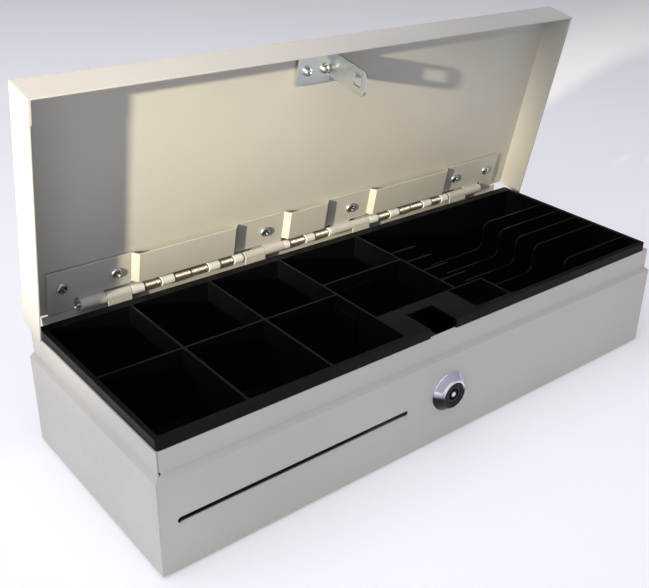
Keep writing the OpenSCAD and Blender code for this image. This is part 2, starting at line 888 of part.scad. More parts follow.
module striker_washers() {
    color(zinc)
        open_lid()
            for (p = striker_screw_places())
                difference() {
                    bar_z(p[0], p[1], [leaf_top - striker_t - washer_t, leaf_top - striker_t], 3.8);
                    bar_z(p[0], p[1], [leaf_top - striker_t - 2, leaf_top], 1.75);
                }
}

module striker_screws() {
    color(zinc)
        open_lid()
            for (p = striker_screw_places())
                pan_screw(p[0], p[1], leaf_top - striker_t - washer_t, 3.1, 2.2,
                    striker_t + washer_t + boss_h - 0.1);
}

// Plug of the tubular lock, with a tail for the cam
module lock_plug() {
    pocket_r = 6.2;
    color(chrome)
        difference() {
            union() {
                bar_y(lock_x, [front_y - bezel_len + 2.6, cam_y[0] - 0.2], lock_z, plug_r);
                bar_y(lock_x, [cam_y[0] - 0.2 - eps, cam_y[1]], lock_z, tail_r);
            }
            bar_y(lock_x, [front_y - bezel_len - 1, front_y - bezel_len + 4.6], lock_z, pocket_r);
            bar_y(lock_x, [cam_y[1] - 5, cam_y[1] + 1], lock_z, 1.1);
        }
}

// Black face with the round keyway
module lock_face() {
    color(black_plastic)
        lock_turn()
            polygon([
                [1.9, 0.7 - bezel_len], [3, 0.7 - bezel_len], [3, 3.2 - bezel_len], [4.3, 3.2 - bezel_len],
                [4.3, 0.7 - bezel_len], [plug_r - 0.15, 0.7 - bezel_len], [plug_r - 0.15, 2.5 - bezel_len],
                [6.15, 2.5 - bezel_len], [6.15, 4.6 - bezel_len], [1.9, 4.6 - bezel_len]
            ]);
}

module lock_post() {
    color(chrome)
        bar_y(lock_x, [front_y - bezel_len + 0.4, front_y - bezel_len + 4.6], lock_z, 1.8);
}

// Cam that carries the drive pin
cam_pin_x = lock_x + latch_travel / 2;
cam_pin_z = lock_z + latch_travel / 2;
module lock_cam() {
    color(zinc)
        difference() {
            bar_y(lock_x, cam_y, lock_z, 6.6);
            bar_y(lock_x, [cam_y[0] - 1, cam_y[1] + 1], lock_z, tail_r + 0.05);
            bar_y(cam_pin_x, [cam_y[0] - 1, cam_y[1] + 1], cam_pin_z, cam_pin_r + 0.02);
        }
}

module cam_screw() {
    color(zinc) {
        bar_y(lock_x, [cam_y[1], cam_y[1] + 1.8], lock_z, 2.7);
        bar_y(lock_x, [cam_y[1] - 4.5, cam_y[1]], lock_z, 1.05);
    }
}

module cam_pin() {
    color(steel)
        bar_y(cam_pin_x, [cam_y[0], latch_y[1] + 0.6], cam_pin_z, cam_pin_r);
}

// Latch: tongue, leg, and a foot with the slot that the cam's pin works in
module latch_slide() {
    slot_clear = 0.3;
    color(steel)
        difference() {
            union() {
                block([tongue_x, leg_x[1]], tongue_y, tongue_z);
                block(leg_x, latch_y, [plunger_z - 3.5, tongue_z[1]]);
                block([cam_pin_x - 4, leg_x[0] + eps], latch_y, [lock_z - 3, lock_z + 10]);
            }
            block([cam_pin_x - cam_pin_r - slot_clear, cam_pin_x + cam_pin_r + slot_clear],
                [latch_y[0] - 1, latch_y[1] + 1],
                [cam_pin_z - cam_pin_r - 0.5, lock_z + cam_pin_at + cam_pin_r + 0.5]);
            bar_y(pin_x, [latch_y[0] - 1, latch_y[1] + 1], plunger_z, 1.02);
        }
}

// Plunger, slotted for the latch's leg
plunger_x = [5, 29];
pin_x = 8.8;
module solenoid_plunger() {
    color(steel)
        difference() {
            bar_x(plunger_x, plunger_y, plunger_z, plunger_r);
            block([plunger_x[0] - 1, leg_x[1] + 0.8], [latch_y[0] - 0.05, latch_y[1] + 0.05],
                [plunger_z - 5, plunger_z + 5]);
            bar_y(pin_x, [plunger_y - 5, plunger_y + 5], plunger_z, 1.02);
        }
}

module plunger_pin() {
    color(zinc)
        bar_y(pin_x, [plunger_y - 3.4, plunger_y + 3.4], plunger_z, 1);
}

module microswitch_button() {
    color("#b03020")
        bar_z(arm_x + arm_t / 2, switch_y, [shelf_z[0] - 1.4, arm_tip_z - 0.4], 1);
}

body_wrap();
left_end_panel();
right_end_panel();
rubber_feet();
insert_tray();
tray_rest_tabs();
hinge_rail();
hinge_pin();
hinge_bushes();
torsion_springs();
lock_housing();
lock_shroud();
lock_nut();
latch_bracket();
bracket_screws();
solenoid_frame();
solenoid_coil();
solenoid_screws();
return_spring();
microswitch();
microswitch_terminals();
cable_jack();
jack_contacts();
wire_loom();
lid_shell();
lid_bosses();
lid_leaf();
leaf_screws();
striker();
striker_washers();
striker_screws();
lock_plug();
lock_face();
lock_post();
lock_cam();
cam_screw();
cam_pin();
latch_slide();
solenoid_plunger();
plunger_pin();
microswitch_button();
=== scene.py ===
"""Flip-top cash drawer: finished sheet metal, insert, hinge, lock and latch round the CAD frame."""

import json
import math

import bmesh
import bpy
from bpy.props import FloatProperty, FloatVectorProperty, IntProperty, PointerProperty
from mathutils import Matrix, Vector


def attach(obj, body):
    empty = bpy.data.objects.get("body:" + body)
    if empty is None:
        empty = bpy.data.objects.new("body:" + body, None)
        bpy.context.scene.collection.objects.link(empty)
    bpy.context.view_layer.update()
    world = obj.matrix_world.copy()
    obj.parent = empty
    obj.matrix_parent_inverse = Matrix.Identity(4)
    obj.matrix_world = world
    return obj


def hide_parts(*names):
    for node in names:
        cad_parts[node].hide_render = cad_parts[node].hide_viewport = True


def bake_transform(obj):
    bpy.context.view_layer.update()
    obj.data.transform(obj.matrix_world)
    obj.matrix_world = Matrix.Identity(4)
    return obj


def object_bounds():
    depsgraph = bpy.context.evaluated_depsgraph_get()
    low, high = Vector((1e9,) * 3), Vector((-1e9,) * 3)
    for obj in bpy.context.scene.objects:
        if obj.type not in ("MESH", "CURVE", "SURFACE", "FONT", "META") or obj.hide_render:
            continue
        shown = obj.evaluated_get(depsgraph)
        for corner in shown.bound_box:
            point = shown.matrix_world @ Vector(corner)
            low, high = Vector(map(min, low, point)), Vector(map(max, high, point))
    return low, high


bl_info = {
    "name": "Flip-Top Cash Drawer",
    "version": (1, 0, 0),
    "blender": (4, 5, 0),
    "location": "View3D > Sidebar > Cash Drawer",
    "description": "Makes the finished pieces of a flip-top cash drawer",
    "category": "Object",
}

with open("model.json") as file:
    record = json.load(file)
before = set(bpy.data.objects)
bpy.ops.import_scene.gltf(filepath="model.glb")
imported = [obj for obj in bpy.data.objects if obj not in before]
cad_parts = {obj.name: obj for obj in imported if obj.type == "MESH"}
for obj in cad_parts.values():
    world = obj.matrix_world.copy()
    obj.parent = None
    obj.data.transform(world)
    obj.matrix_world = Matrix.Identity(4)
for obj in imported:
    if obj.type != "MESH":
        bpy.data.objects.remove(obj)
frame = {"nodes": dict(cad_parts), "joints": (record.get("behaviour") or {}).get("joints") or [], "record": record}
CAD_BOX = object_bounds()

MM = 0.001
JOIN = 0.002 * MM
FLAT = math.radians(0.5)
CORNER = math.radians(28)
HINGE = next(j for j in frame["joints"] if j["name"] == "lid_hinge")
HINGE_LINE = Vector(HINGE["pos_m"])
LINE_START = Vector((0, HINGE_LINE.y, HINGE_LINE.z))
OPEN_ANGLE = math.radians(HINGE["range_deg"][1])
OPEN_SPARE = math.pi / 2 - OPEN_ANGLE
KEY = next(j for j in frame["joints"] if j["name"] == "key_turn")
LOCK_AXIS = Vector(KEY["pos_m"])

# a face narrower than this is the cut edge of a sheet
CUT_EDGE = 2.5 * MM
# a torsion spring's pitch in wire radii, and its legs on the rail and under the leaf
COIL_PITCH = 2.16
RAIL_LEG = 5.6 * MM
LEAF_LEG = 13 * MM
# each lamp's aim, and its place measured from there
ABOVE_AIM, ABOVE_PLACE = Vector((0, 0, 0)), Vector((-0.7, -0.1, 1.7))
KEY_AIM, KEY_PLACE = Vector((-0.075, 0.105, 0.19)), Vector((-0.917, -0.358, 0.19)) * 2.2
SIDE_AIM, SIDE_PLACE = Vector((0, 0, 0.1)), Vector((-0.83, -0.5, 0.27)) * 1.9


# ---------------------------------------------------------------- settings


class PaintSettings(bpy.types.PropertyGroup):
    """Powder coat of the sheet metal"""

    colour: FloatVectorProperty(
        name="Paint Colour",
        description="Colour of the powder coat",
        subtype="COLOR",
        size=3,
        min=0,
        max=1,
        default=(0.57, 0.55, 0.50),
    )
    roughness: FloatProperty(
        name="Paint Roughness",
        description="Roughness of the powder coat",
        subtype="FACTOR",
        min=0,
        max=1,
        default=0.42,
    )
    fold: FloatProperty(
        name="Fold Radius",
        description="Outside radius of the folded edges",
        subtype="DISTANCE",
        unit="LENGTH",
        default=0.7 * MM,
    )
    edge: FloatProperty(
        name="Edge Radius",
        description="Radius of the paint over a cut edge",
        subtype="DISTANCE",
        unit="LENGTH",
        default=0.3 * MM,
    )


class InsertSettings(bpy.types.PropertyGroup):
    """Moulded coin and note insert"""

    colour: FloatVectorProperty(
        name="Insert Colour",
        description="Colour of the moulded insert",
        subtype="COLOR",
        size=3,
        min=0,
        max=1,
        default=(0.003, 0.0031, 0.0038),
    )
    edge: FloatProperty(
        name="Moulded Edge Radius",
        description="Radius along the insert's edges",
        subtype="DISTANCE",
        unit="LENGTH",
        default=0.45 * MM,
    )


class MetalSettings(bpy.types.PropertyGroup):
    """Plated and bare metal parts"""

    zinc: FloatVectorProperty(
        name="Zinc Colour",
        description="Colour of the zinc plating",
        subtype="COLOR",
        size=3,
        min=0,
        max=1,
        default=(0.62, 0.66, 0.68),
    )
    chrome: FloatVectorProperty(
        name="Chrome Colour",
        description="Colour of the lock's plating",
        subtype="COLOR",
        size=3,
        min=0,
        max=1,
        default=(0.86, 0.87, 0.98),
    )
    # painted dark reflection: the colour painted on the lock below its axis, standing in for the shade its plating
    # reflects there
    painted_dark_reflection: FloatVectorProperty(
        name="Smoke Colour",
        description="Colour of the lock's darker plating, low on the bezel",
        subtype="COLOR",
        size=3,
        min=0,
        max=1,
        default=(0.012, 0.010, 0.014),
    )
    edge: FloatProperty(
        name="Metal Edge Radius",
        description="Radius along the edges of small metal parts",
        subtype="DISTANCE",
        unit="LENGTH",
        default=0.2 * MM,
    )


class SpringSettings(bpy.types.PropertyGroup):
    """Torsion springs on the hinge pin"""

    wire: FloatProperty(
        name="Wire Radius",
        description="Radius of the spring wire",
        subtype="DISTANCE",
        unit="LENGTH",
        default=0.48 * MM,
    )
    coil: FloatProperty(
        name="Coil Radius",
        description="Radius of the coils at the wire's middle",
        subtype="DISTANCE",
        unit="LENGTH",
        default=2.6 * MM,
    )
    steps: IntProperty(
        name="Steps",
        description="Steps in one turn of a coil",
        min=8,
        default=20,
    )


class StageSettings(bpy.types.PropertyGroup):
    """Floor, lights and camera"""

    floor: FloatVectorProperty(
        name="Floor Colour",
        description="Colour of the floor",
        subtype="COLOR",
        size=3,
        min=0,
        max=1,
        default=(0.95, 0.945, 0.945),
    )
    place: FloatVectorProperty(
        name="Camera Place",
        description="Where the camera stands",
        subtype="TRANSLATION",
        unit="LENGTH",
        size=3,
        default=(-0.40873, -0.45703, 0.39514),
    )
    azimuth: FloatProperty(
        name="Azimuth",
        description="Turn of the camera round the drawer",
        subtype="ANGLE",
        default=math.radians(-41.518),
    )
    elevation: FloatProperty(
        name="Elevation",
        description="Height angle of the camera",
        subtype="ANGLE",
        default=math.radians(27.017),
    )
    roll: FloatProperty(
        name="Roll",
        description="Tilt of the camera about its own axis",
        subtype="ANGLE",
        default=math.radians(2.471),
    )
    lens: FloatProperty(
        name="Focal Length",
        description="Focal length on a 36 mm sensor, in millimetres",
        default=51.266,
    )
    shift: FloatVectorProperty(
        name="Lens Shift",
        description="Sideways and upward shift of the lens",
        size=2,
        default=(-0.07199, -0.00813),
    )
    key: FloatProperty(
        name="Key Light",
        description="Power of the low warm spot from the left, in watts",
        default=490.0,
    )
    fill: FloatProperty(
        name="Fill Light",
        description="Power of the wide soft light above, in watts",
        default=44.0,
    )
    side: FloatProperty(
        name="Side Light",
        description="Power of the soft light on the left, in watts",
        default=3.5,
    )
    glow: FloatProperty(
        name="Floor Glow",
        description="Light given off by the floor, which keeps it a clean white",
        default=0.16,
    )


# ---------------------------------------------------------------- materials


class Finish:
    """A material under construction: its tree, its shader and one object-space coordinate."""

    def __init__(self, name, colour, roughness, metallic=0.0):
        self.material = bpy.data.materials.get(name) or bpy.data.materials.new(name)
        self.material.use_nodes = True
        self.material.diffuse_color = (*colour, 1)
        self.tree = self.material.node_tree
        self.tree.nodes.clear()
        self.shader = self.add("ShaderNodeBsdfPrincipled")
        output = self.add("ShaderNodeOutputMaterial")
        self.link(self.shader.outputs["BSDF"], output.inputs["Surface"])
        self.shader.inputs["Base Color"].default_value = (*colour, 1)
        self.shader.inputs["Roughness"].default_value = roughness
        self.shader.inputs["Metallic"].default_value = metallic
        self.place = self.add("ShaderNodeTexCoord").outputs["Object"]

    def add(self, kind):
        return self.tree.nodes.new(kind)

    def link(self, start, end):
        self.tree.links.new(start, end)

    def noise(self, scale, detail=2.0, stretch=None):
        place = self.place
        if stretch:
            mapping = self.add("ShaderNodeMapping")
            mapping.inputs["Scale"].default_value = stretch
            self.link(place, mapping.inputs["Vector"])
            place = mapping.outputs["Vector"]
        node = self.add("ShaderNodeTexNoise")
        node.inputs["Scale"].default_value = scale
        node.inputs["Detail"].default_value = detail
        self.link(place, node.inputs["Vector"])
        return node.outputs["Fac"]

    def spread(self, value, low, high, start=0.3, end=0.7):
        """The value, from start to end, turned to the range low to high."""
        node = self.add("ShaderNodeMapRange")
        for socket, number in zip(
            ("From Min", "From Max", "To Min", "To Max"), (start, end, low, high)
        ):
            node.inputs[socket].default_value = number
        self.link(value, node.inputs["Value"])
        return node.outputs["Result"]

    def tint(self, value, first, second, start=0.35, end=0.65):
        """Colours the surface from first to second as the value goes from start to end."""
        ramp = self.add("ShaderNodeValToRGB")
        ramp.color_ramp.elements[0].position = start
        ramp.color_ramp.elements[0].color = (*first, 1)
        ramp.color_ramp.elements[1].position = end
        ramp.color_ramp.elements[1].color = (*second, 1)
        self.link(value, ramp.inputs["Fac"])
        self.link(ramp.outputs["Color"], self.shader.inputs["Base Color"])

    def rough(self, value, low, high):
        self.link(self.spread(value, low, high), self.shader.inputs["Roughness"])

    def bump(self, value, depth, strength=1.0, below=None):
        node = self.add("ShaderNodeBump")
        node.inputs["Distance"].default_value = depth
        node.inputs["Strength"].default_value = strength
        self.link(value, node.inputs["Height"])
        if below:
            self.link(below, node.inputs["Normal"])
        self.link(node.outputs["Normal"], self.shader.inputs["Normal"])
        return node.outputs["Normal"]


def shade(colour, amount):
    return tuple(min(1.0, part * amount) for part in colour)


def ivory_paint(settings):
    """Satin powder coat: orange peel, a finer grain and a faint drift of colour."""
    finish = Finish("ivory_paint", settings.colour, settings.roughness)
    finish.tint(finish.noise(9, 3), shade(settings.colour, 0.965), shade(settings.colour, 1.03))
    finish.rough(finish.noise(140, 3), settings.roughness - 0.05, settings.roughness + 0.06)
    peel = finish.bump(finish.noise(620, 2), 0.035 * MM, 0.55)
    finish.bump(finish.noise(2600, 1), 0.012 * MM, 0.5, peel)
    finish.shader.inputs["Coat Weight"].default_value = 0.12
    finish.shader.inputs["Coat Roughness"].default_value = 0.22
    return finish.material


def insert_plastic(settings):
    """Dark moulding with a spark-eroded grain and rubbed patches."""
    finish = Finish("insert_plastic", settings.colour, 0.45)
    finish.tint(finish.noise(22, 4), settings.colour, shade(settings.colour, 1.5), 0.4, 0.75)
    finish.rough(finish.noise(60, 4), 0.34, 0.46)
    finish.bump(finish.noise(2200, 2), 0.012 * MM, 0.5)
    finish.shader.inputs["Specular IOR Level"].default_value = 0.08
    return finish.material


def zinc_plate(settings):
    """Bright zinc with a faint blue and straw bloom and rolling marks."""
    finish = Finish("zinc", settings.zinc, 0.3, 1.0)
    finish.tint(
        finish.noise(70, 2), shade(settings.zinc, 0.95), (0.68, 0.70, 0.67), 0.3, 0.75
    )
    finish.rough(finish.noise(420, 3, (1, 4, 1)), 0.3, 0.4)
    finish.bump(finish.noise(1500, 2, (1, 4, 1)), 0.004 * MM, 0.4)
    return finish.material


def chrome_with_painted_reflection(settings):
    """Polished plating with fine wiping marks, painted dark below the lock's axis as a painted reflection of
    shade, and at full colour above it and on the centre post as a painted highlight.
    """
    finish = Finish("chrome", settings.chrome, 0.09, 0.6)
    finish.rough(finish.noise(700, 4, (1, 1, 14)), 0.06, 0.15)
    split = finish.add("ShaderNodeSeparateXYZ")
    finish.link(finish.place, split.inputs["Vector"])
    # painted reflection: 0 below the lock's axis, 1 a few millimetres above it
    height = finish.spread(split.outputs["Z"], 0, 1, LOCK_AXIS.z - 1 * MM, LOCK_AXIS.z + 5 * MM)
    level = finish.add("ShaderNodeCombineXYZ")
    finish.link(split.outputs["X"], level.inputs["X"])
    finish.link(split.outputs["Z"], level.inputs["Z"])
    away = finish.add("ShaderNodeVectorMath")
    away.operation = "DISTANCE"
    away.inputs[1].default_value = (LOCK_AXIS.x, 0, LOCK_AXIS.z)
    finish.link(level.outputs["Vector"], away.inputs[0])
    # the centre post is kept at the full chrome colour as a painted highlight
    post = finish.spread(away.outputs["Value"], 1, 0, 2 * MM, 3 * MM)
    painted_light = finish.add("ShaderNodeMath")
    painted_light.operation = "MAXIMUM"
    finish.link(height, painted_light.inputs[0])
    finish.link(post, painted_light.inputs[1])
    # painted reflection: the dark colour below the axis, the chrome colour above it and on the post
    finish.tint(painted_light.outputs["Value"], settings.painted_dark_reflection, settings.chrome, 0.15, 0.95)
    finish.bump(finish.noise(900, 2), 0.002 * MM, 0.5)
    return finish.material


def bare_steel(name, colour, low, high):
    """Drawn or turned steel with fine lines along X."""
    finish = Finish(name, colour, (low + high) / 2, 1.0)
    finish.tint(finish.noise(240, 3), shade(colour, 0.8), shade(colour, 1.08))
    finish.rough(finish.noise(800, 3, (0.2, 3, 3)), low, high)
    finish.bump(finish.noise(1400, 2, (0.2, 3, 3)), 0.006 * MM, 0.5)
    return finish.material


def plain_plastic(name, colour, low, high, grain=1600, depth=0.012, gloss=0.5):
    """Moulded plastic with a fine grain and uneven gloss."""
    finish = Finish(name, colour, (low + high) / 2)
    finish.shader.inputs["Specular IOR Level"].default_value = gloss
    finish.tint(finish.noise(60, 3), shade(colour, 0.92), shade(colour, 1.06))
    finish.rough(finish.noise(120, 3), low, high)
    finish.bump(finish.noise(grain, 2), depth * MM, 0.6)
    return finish.material


def nylon_bush():
    """Natural nylon, slightly waxy."""
    colour = (0.80, 0.80, 0.76)
    finish = Finish("nylon", colour, 0.4)
    finish.tint(finish.noise(150, 2), shade(colour, 0.93), colour)
    finish.rough(finish.noise(300, 2), 0.34, 0.5)
    finish.bump(finish.noise(1800, 1), 0.006 * MM, 0.5)
    finish.shader.inputs["Subsurface Weight"].default_value = 0.15
    finish.shader.inputs["Subsurface Radius"].default_value = (0.001, 0.001, 0.001)
    return finish.material


def coil_winding():
    """Varnished winding: rings of wire side by side."""
    colour = (0.36, 0.13, 0.04)
    finish = Finish("coil_tape", colour, 0.3)
    wave = finish.add("ShaderNodeTexWave")
    wave.bands_direction = "X"
    wave.inputs["Scale"].default_value = 320
    finish.link(finish.place, wave.inputs["Vector"])
    finish.tint(wave.outputs["Fac"], shade(colour, 0.7), shade(colour, 1.2), 0.2, 0.8)
    finish.rough(finish.noise(300, 2), 0.22, 0.4)
    finish.bump(wave.outputs["Fac"], 0.08 * MM, 0.8)
    return finish.material


def contact_brass():
    """Bright brass of the jack's contacts."""
    colour = (0.80, 0.60, 0.28)
    finish = Finish("contact_brass", colour, 0.25, 1.0)
    finish.tint(finish.noise(500, 2), shade(colour, 0.85), colour)
    finish.rough(finish.noise(900, 2), 0.18, 0.34)
    finish.bump(finish.noise(2500, 1), 0.004 * MM, 0.5)
    return finish.material


def floor_paper(colour, glow):
    """Pale paper sweep, lit a little from behind."""
    finish = Finish("floor_paper", colour, 0.85)
    finish.shader.inputs["Emission Color"].default_value = (1, 1, 1, 1)
    finish.shader.inputs["Emission Strength"].default_value = glow
    finish.tint(finish.noise(3, 2), shade(colour, 0.985), shade(colour, 1.01))
    finish.bump(finish.noise(900, 2), 0.03 * MM, 0.3)
    return finish.material


FINISHES = {}


def make_finishes(scene):
    """Makes every material once, named for the record's material slots."""
    metal = scene.drawer_metal
    FINISHES.update(
        ivory_paint=ivory_paint(scene.drawer_paint),
        insert_plastic=insert_plastic(scene.drawer_insert),
        zinc=zinc_plate(metal),
        chrome=chrome_with_painted_reflection(metal),
        steel=bare_steel("steel", (0.50, 0.50, 0.51), 0.22, 0.42),
        spring_steel=bare_steel("spring_steel", (0.70, 0.66, 0.61), 0.34, 0.5),
        nylon=nylon_bush(),
        black_plastic=plain_plastic(
            "black_plastic", (0.006, 0.006, 0.008), 0.16, 0.28, gloss=0.2
        ),
        red_plastic=plain_plastic("red_plastic", (0.42, 0.03, 0.02), 0.25, 0.4),
        foot_rubber=plain_plastic("foot_rubber", (0.02, 0.02, 0.021), 0.6, 0.8, 900, 0.03),
        cable_sleeve=plain_plastic("cable_sleeve", (0.018, 0.018, 0.02), 0.4, 0.6, 700, 0.03),
        coil_tape=coil_winding(),
        contact_brass=contact_brass(),
        floor_paper=floor_paper(scene.drawer_stage.floor, scene.drawer_stage.glow),
    )


SLOT_OF = {s["node"]: s["material_slot"] for s in frame["record"]["subparts"]}
BODY_OF = {
    node: body
    for body, nodes in frame["record"]["behaviour"]["bodies"].items()
    for node in nodes
}


# ---------------------------------------------------------------- shared steps


def new_piece(name, shape, slot, body, replaced=(), smooth=True):
    """Turns a bmesh into a finished piece that rides a body."""
    mesh = bpy.data.meshes.new(name)
    shape.to_mesh(mesh)
    shape.free()
    if smooth:
        mesh.shade_smooth()
    piece = bpy.data.objects.new(name, mesh)
    bpy.context.scene.collection.objects.link(piece)
    mesh.materials.append(FINISHES[slot])
    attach(piece, body)
    if replaced:
        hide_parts(*replaced)
    return piece


def merged_copy(node):
    """A bmesh of a CAD node with its triangles joined into whole flat faces."""
    shape = bmesh.new()
    shape.from_mesh(frame["nodes"][node].data)
    bmesh.ops.remove_doubles(shape, verts=shape.verts, dist=JOIN)
    bmesh.ops.dissolve_limit(
        shape,
        angle_limit=FLAT,
        use_dissolve_boundaries=False,
        verts=shape.verts,
        edges=shape.edges,
        delimit={"NORMAL"},
    )
    return shape


def round_edges(piece, width, segments=2, angle=CORNER):
    """Rounds a piece's sharp edges and keeps its flats flat."""
    bevel = piece.modifiers.new("Edges", "BEVEL")
    bevel.affect = "EDGES"
    bevel.width = width
    bevel.segments = segments
    bevel.profile = 0.5
    bevel.material = -1
    bevel.limit_method = "ANGLE"
    bevel.angle_limit = angle
    bevel.use_clamp_overlap = True
    bevel.miter_outer = "MITER_ARC"
    normals = piece.modifiers.new("Normals", "WEIGHTED_NORMAL")
    normals.mode = "FACE_AREA"
    normals.weight = 80
    normals.keep_sharp = True


def soften(node, width, segments=2, angle=CORNER):
    """Stands a round-edged copy in for a CAD node."""
    piece = new_piece(f"{node}_finished", merged_copy(node), SLOT_OF[node], BODY_OF[node], (node,))
    round_edges(piece, width, segments, angle)
    return piece


def fold(node, radius, edge):
    """Stands a copy in for a sheet node: folds get the full radius, cut edges a small one."""
    shape = merged_copy(node)
    weight = shape.edges.layers.float.new("bevel_weight_edge")
    breadth = {}
    for face in shape.faces:
        breadth[face.index] = face.calc_area() / max(e.calc_length() for e in face.edges)
    for line in shape.edges:
        if len(line.link_faces) != 2 or line.calc_face_angle(0) < CORNER:
            continue
        broad = min(breadth[face.index] for face in line.link_faces) > CUT_EDGE
        line[weight] = 1.0 if broad else edge / radius
    piece = new_piece(f"{node}_finished", shape, SLOT_OF[node], BODY_OF[node], (node,))
    round_edges(piece, radius, 3)
    piece.modifiers["Edges"].limit_method = "WEIGHT"
    return piece


def repaint(*nodes):
    """Gives CAD nodes that stay as they are their material."""
    for node in nodes:
        mesh = frame["nodes"][node].data
        mesh.materials.clear()
        mesh.materials.append(FINISHES[SLOT_OF[node]])


def turned(profile, centre, axis, segments=48):
    """A bmesh of a profile of (radius, distance) points spun about an axis."""
    shape = bmesh.new()
    points = [shape.verts.new((radius, 0, along)) for radius, along in profile]
    edges = [shape.edges.new(pair) for pair in zip(points, points[1:])]
    bmesh.ops.spin(
        shape,
        geom=points + edges,
        cent=(0, 0, 0),
        axis=(0, 0, 1),
        angle=2 * math.pi,
        steps=segments,
        use_merge=True,
    )
    bmesh.ops.remove_doubles(shape, verts=shape.verts, dist=JOIN)
    bmesh.ops.recalc_face_normals(shape, faces=shape.faces)
    turn = Vector((0, 0, 1)).rotation_difference(Vector(axis)).to_matrix().to_4x4()
    bmesh.ops.transform(shape, matrix=Matrix.Translation(centre) @ turn, verts=shape.verts)
    return shape


def round_ended(node, shapes, width):
    """Stands turned shapes in for a CAD node, with their edges rounded."""
    shape = join_shapes(shapes)
    piece = new_piece(f"{node}_finished", shape, SLOT_OF[node], BODY_OF[node], (node,))
    round_edges(piece, width, 3)
    return piece


def loose_solids(node):
    """The boxes of a CAD node's separate solids, left to right."""
    shape = bmesh.new()
    shape.from_mesh(frame["nodes"][node].data)
    bmesh.ops.remove_doubles(shape, verts=shape.verts, dist=JOIN)
    left = set(shape.verts)
    boxes = []
    while left:
        island = [left.pop()]
        for vert in island:
            for edge in vert.link_edges:
                other = edge.other_vert(vert)
                if other in left:
                    left.remove(other)
                    island.append(other)
        low = Vector([min(v.co[i] for v in island) for i in range(3)])
        high = Vector([max(v.co[i] for v in island) for i in range(3)])
        boxes.append((low, high))
    shape.free()
    return sorted(boxes, key=lambda pair: tuple(pair[0]))


def lid_turn():
    """Turns points of the shut lid to the open lid."""
    return (
        Matrix.Translation(HINGE_LINE)
        @ Matrix.Rotation(-OPEN_ANGLE, 4, "X")
        @ Matrix.Translation(-HINGE_LINE)
    )


def join_shapes(shapes):
    """One bmesh of several."""
    whole = bmesh.new()
    for shape in shapes:
        mesh = bpy.data.meshes.new("part")
        shape.to_mesh(mesh)
        shape.free()
        whole.from_mesh(mesh)
        bpy.data.meshes.remove(mesh)
    return whole


# ---------------------------------------------------------------- operators


class DRAWER_OT_stage(bpy.types.Operator):
    """Make the floor, the lights and the camera"""

    bl_idname = "drawer.stage"
    bl_label = "Stage"

    def execute(self, context):
        settings = context.scene.drawer_stage
        self.floor(settings)
        self.lights(context, settings)
        self.camera(context, settings)
        return {"FINISHED"}

    def floor(self, settings):
        shape = bmesh.new()
        bmesh.ops.create_grid(shape, x_segments=1, y_segments=1, size=6)
        bmesh.ops.translate(shape, verts=shape.verts, vec=(0, 0, CAD_BOX[0][2]))
        mesh = bpy.data.meshes.new("floor")
        shape.to_mesh(mesh)
        shape.free()
        mesh.materials.append(FINISHES["floor_paper"])
        floor = bpy.data.objects.new("floor", mesh)
        bpy.context.scene.collection.objects.link(floor)

    def lights(self, context, settings):
        world = bpy.data.worlds.new("studio")
        world.use_nodes = True
        background = world.node_tree.nodes["Background"]
        background.inputs["Color"].default_value = (0.88, 0.88, 1.0, 1)
        background.inputs["Strength"].default_value = 0.18
        context.scene.world = world
        context.scene.view_settings.view_transform = "Standard"
        above = bpy.data.lights.new("above", "AREA")
        above.shape = "SQUARE"
        above.size = 3.0
        above.energy = settings.fill
        above.color = (0.90, 0.90, 1.0)
        self.place(above, ABOVE_AIM, ABOVE_PLACE)
        key = bpy.data.lights.new("key", "SPOT")
        key.spot_size = math.radians(8.5)
        key.spot_blend = 1.0
        key.shadow_soft_size = 0.035
        key.energy = settings.key
        key.color = (1.0, 0.91, 0.66)
        self.place(key, KEY_AIM, KEY_PLACE)
        side = bpy.data.lights.new("side", "AREA")
        side.shape = "DISK"
        side.size = 0.9
        side.energy = settings.side
        side.color = (1.0, 0.97, 0.97)
        self.place(side, SIDE_AIM, SIDE_PLACE)

    def place(self, data, aim, offset):
        lamp = bpy.data.objects.new(data.name, data)
        lamp.location = aim + offset
        lamp.rotation_euler = offset.to_track_quat("Z", "Y").to_euler()
        bpy.context.scene.collection.objects.link(lamp)

    def camera(self, context, settings):
        data = bpy.data.cameras.new("camera")
        data.sensor_width = 36
        data.lens = settings.lens
        data.shift_x, data.shift_y = settings.shift
        data.clip_start = 0.01
        data.clip_end = 50
        camera = bpy.data.objects.new("camera", data)
        turn = (
            Matrix.Rotation(settings.azimuth, 4, "Z")
            @ Matrix.Rotation(math.pi / 2 - settings.elevation, 4, "X")
            @ Matrix.Rotation(settings.roll, 4, "Z")
        )
        camera.matrix_world = Matrix.Translation(Vector(settings.place)) @ turn
        context.scene.collection.objects.link(camera)
        context.scene.camera = camera


class DRAWER_OT_body(bpy.types.Operator):
    """Make the folded body, its ends and the hinge rail"""

    bl_idname = "drawer.body"
    bl_label = "Body"

    def execute(self, context):
        paint = context.scene.drawer_paint
        for node in ("body_wrap", "left_end_panel", "right_end_panel"):
            fold(node, paint.fold, paint.edge)
        soften("hinge_rail", paint.edge, 2, math.radians(40))
        soften("tray_rest_tabs", paint.edge, 2)
        soften("rubber_feet", 0.6 * MM, 3)
        return {"FINISHED"}


